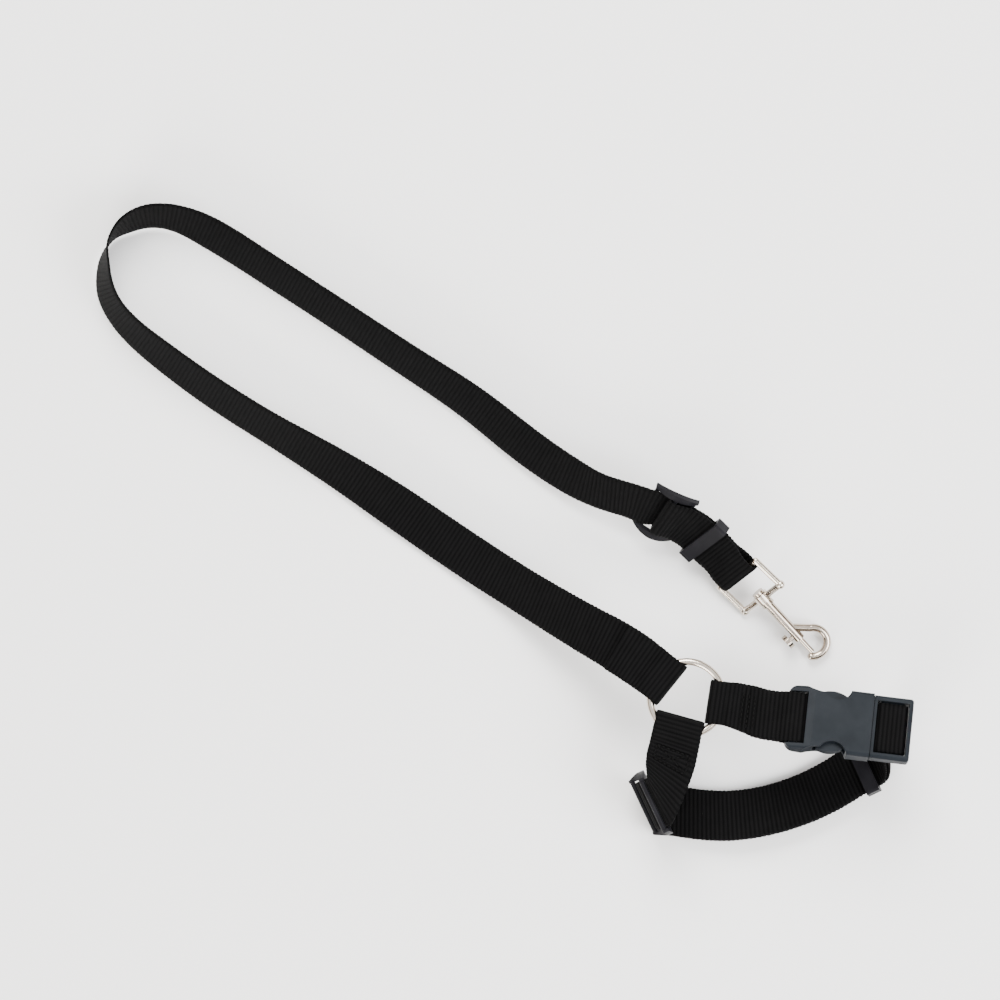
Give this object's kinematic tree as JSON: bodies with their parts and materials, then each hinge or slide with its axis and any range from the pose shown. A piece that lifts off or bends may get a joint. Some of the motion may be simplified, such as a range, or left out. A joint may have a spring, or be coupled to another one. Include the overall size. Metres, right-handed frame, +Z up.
{
  "type": "adjustable dog restraint tether",
  "caption": "Ribbed webbing dog tether with a swivel bolt snap, joined by an O-ring to a small adjustable buckled neck loop.",
  "frame": {"origin": "centre of the base of the whole object's bounding box, on the surface it lies on", "axes": "+X along the tether from its far bend towards the O-ring and the neck loop, +Y across towards the snap side, +Z up"},
  "size_m": [0.4656, 0.148, 0.0504],
  "materials": {
    "webbing": "ribbed woven",
    "thread": "twisted thread",
    "adjuster_plastic": "satin moulded",
    "buckle_plastic": "satin moulded",
    "nickel": "polished nickel plate"
  },
  "bodies": {
    "webbing": {"tether_webbing": "webbing", "tether_ring_stitching": "thread", "tether_slider": "adjuster_plastic", "short_strap": "webbing", "short_strap_stitching": "thread", "buckle_female": "buckle_plastic", "loop_webbing": "webbing", "loop_ring_stitching": "thread", "loop_slider": "adjuster_plastic"},
    "ring": {"o_ring": "nickel"},
    "tether_loop": {"tether_keeper": "adjuster_plastic"},
    "eye": {"snap_eye": "nickel"},
    "snap": {"snap_body": "nickel", "bolt_spring": "nickel"},
    "bolt": {"snap_bolt": "nickel"},
    "neck_loop_keeper": {"loop_keeper": "adjuster_plastic"},
    "prong": {"buckle_male": "buckle_plastic", "loop_strap_end": "webbing"},
    "latch_upper": {"latch_arm_upper": "buckle_plastic"},
    "latch_lower": {"latch_arm_lower": "buckle_plastic"}
  },
  "joints": [
    {"name": "ring_turn", "type": "hinge", "parent": "webbing", "child": "ring", "pos_m": [0.12684, -0.0092, 0.03685], "axis": [0, 0, 1], "continuous": true},
    {"name": "tether_keeper_slide", "type": "slide", "parent": "webbing", "child": "tether_loop", "axis": [0.9728, -0.1731, -0.1539], "range_m": [-0.002, 0.004]},
    {"name": "eye_swing", "type": "hinge", "parent": "webbing", "child": "eye", "pos_m": [0.11484, 0.0548, 0.01365], "axis": [0.2262, 0.735, 0.6393], "range_deg": [-45, 45]},
    {"name": "snap_swivel", "type": "hinge", "parent": "eye", "child": "snap", "pos_m": [0.1314, 0.05197, 0.01105], "axis": [0.9549, -0.2203, -0.1993], "continuous": true},
    {"name": "bolt_slide", "type": "slide", "parent": "snap", "child": "bolt", "axis": [-0.9549, 0.2203, 0.1993], "range_m": [0, 0.007], "stiffness_N_per_m": 150, "springref_m": -0.003, "deforming": ["bolt_spring"]},
    {"name": "loop_keeper_slide", "type": "slide", "parent": "webbing", "child": "neck_loop_keeper", "axis": [0.4929, 0.8567, 0.1522], "range_m": [-0.002, 0.001]},
    {"name": "buckle_release", "type": "slide", "parent": "webbing", "child": "prong", "axis": [0.891, 0.454, 0], "range_m": [0, 0.026], "deforming": ["latch_arm_upper", "latch_arm_lower"]},
    {"name": "latch_upper_press", "type": "hinge", "parent": "prong", "child": "latch_upper", "pos_m": [0.20332, 0.03713, 0.0377], "axis": [-0.1403, 0.2753, 0.9511], "range_deg": [0, 7], "stiffness_Nm_per_rad": 0.25},
    {"name": "latch_lower_press", "type": "hinge", "parent": "prong", "child": "latch_lower", "pos_m": [0.21213, 0.01985, 0.04401], "axis": [0.1403, -0.2753, -0.9511], "range_deg": [0, 7], "stiffness_Nm_per_rad": 0.25}
  ]
}
